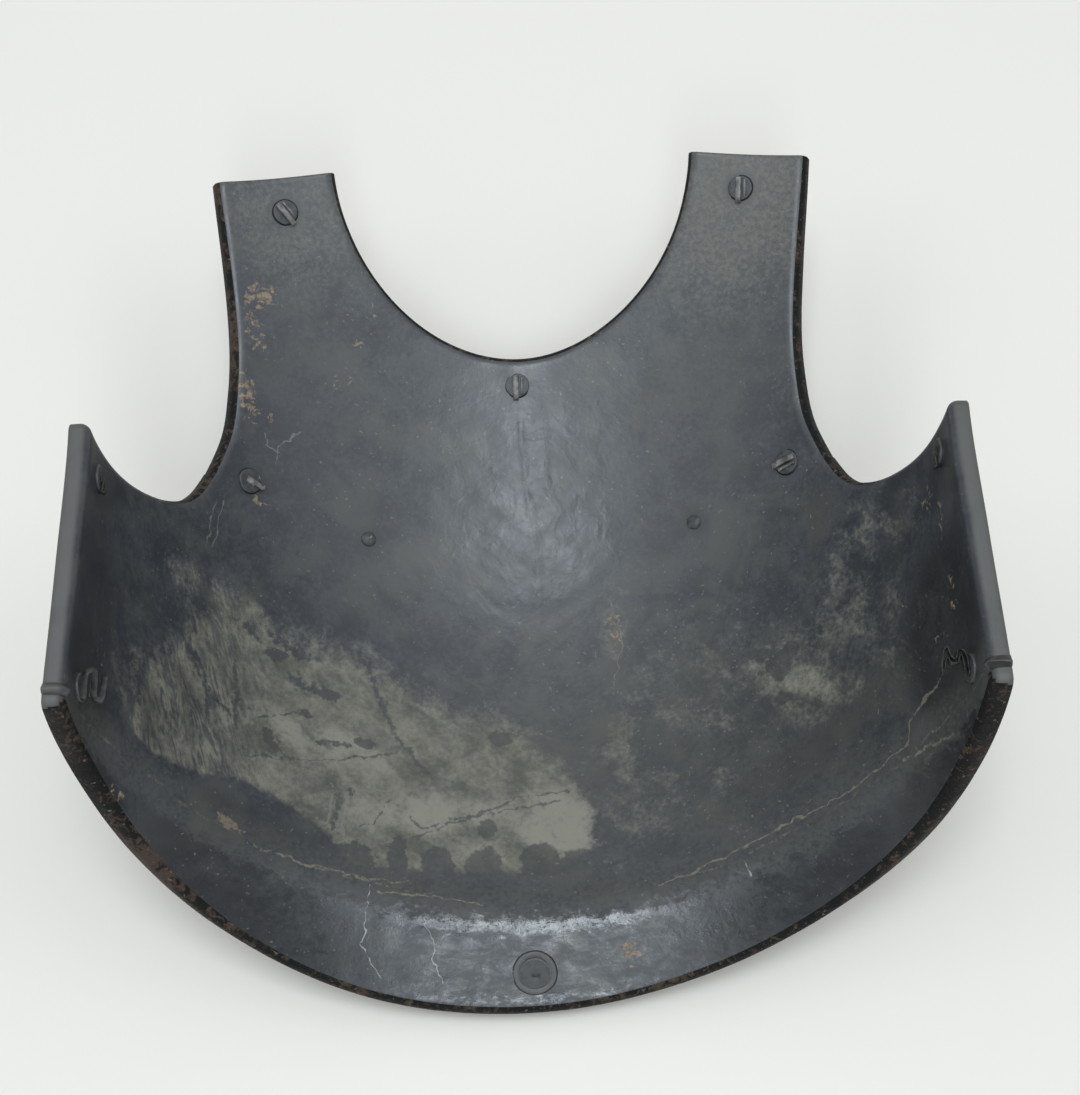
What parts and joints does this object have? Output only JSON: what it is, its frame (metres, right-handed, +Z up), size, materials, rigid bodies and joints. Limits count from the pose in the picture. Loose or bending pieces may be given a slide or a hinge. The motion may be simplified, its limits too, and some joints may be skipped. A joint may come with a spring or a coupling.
{
  "type": "breastplate",
  "caption": "Deep forged steel breastplate with a soft middle ridge, cut-out neck and armholes, flared waist skirt, turned rim, and studs with folded split pins.",
  "frame": {"origin": "middle of the base of the bounding box, on the surface that it lies on", "axes": "+X to the right as the hollow is seen from above, +Y towards the neck, +Z up out of the hollow"},
  "size_m": [0.3788, 0.4114, 0.1861],
  "materials": {
    "plate": "worn black varnish on steel",
    "stud": "worn black varnish on steel",
    "pin": "tarnished steel",
    "rivet": "worn black varnish on steel"
  },
  "bodies": {
    "root": {"breast_shell": "plate", "stud_shoulder_left": "stud", "pin_shoulder_left": "pin", "stud_shoulder_right": "stud", "pin_shoulder_right": "pin", "stud_neck": "stud", "pin_neck": "pin", "stud_chest_left": "stud", "pin_chest_left": "pin", "stud_chest_right": "stud", "pin_chest_right": "pin", "stud_wing_top_left": "stud", "pin_wing_top_left": "pin", "stud_wing_top_right": "stud", "pin_wing_top_right": "pin", "stud_wing_bottom_left": "stud", "pin_wing_bottom_left": "pin", "stud_wing_bottom_right": "stud", "pin_wing_bottom_right": "pin", "chest_rivet_left": "rivet", "chest_rivet_right": "rivet", "waist_rivet": "rivet", "waist_washer": "rivet"}
  },
  "joints": []
}
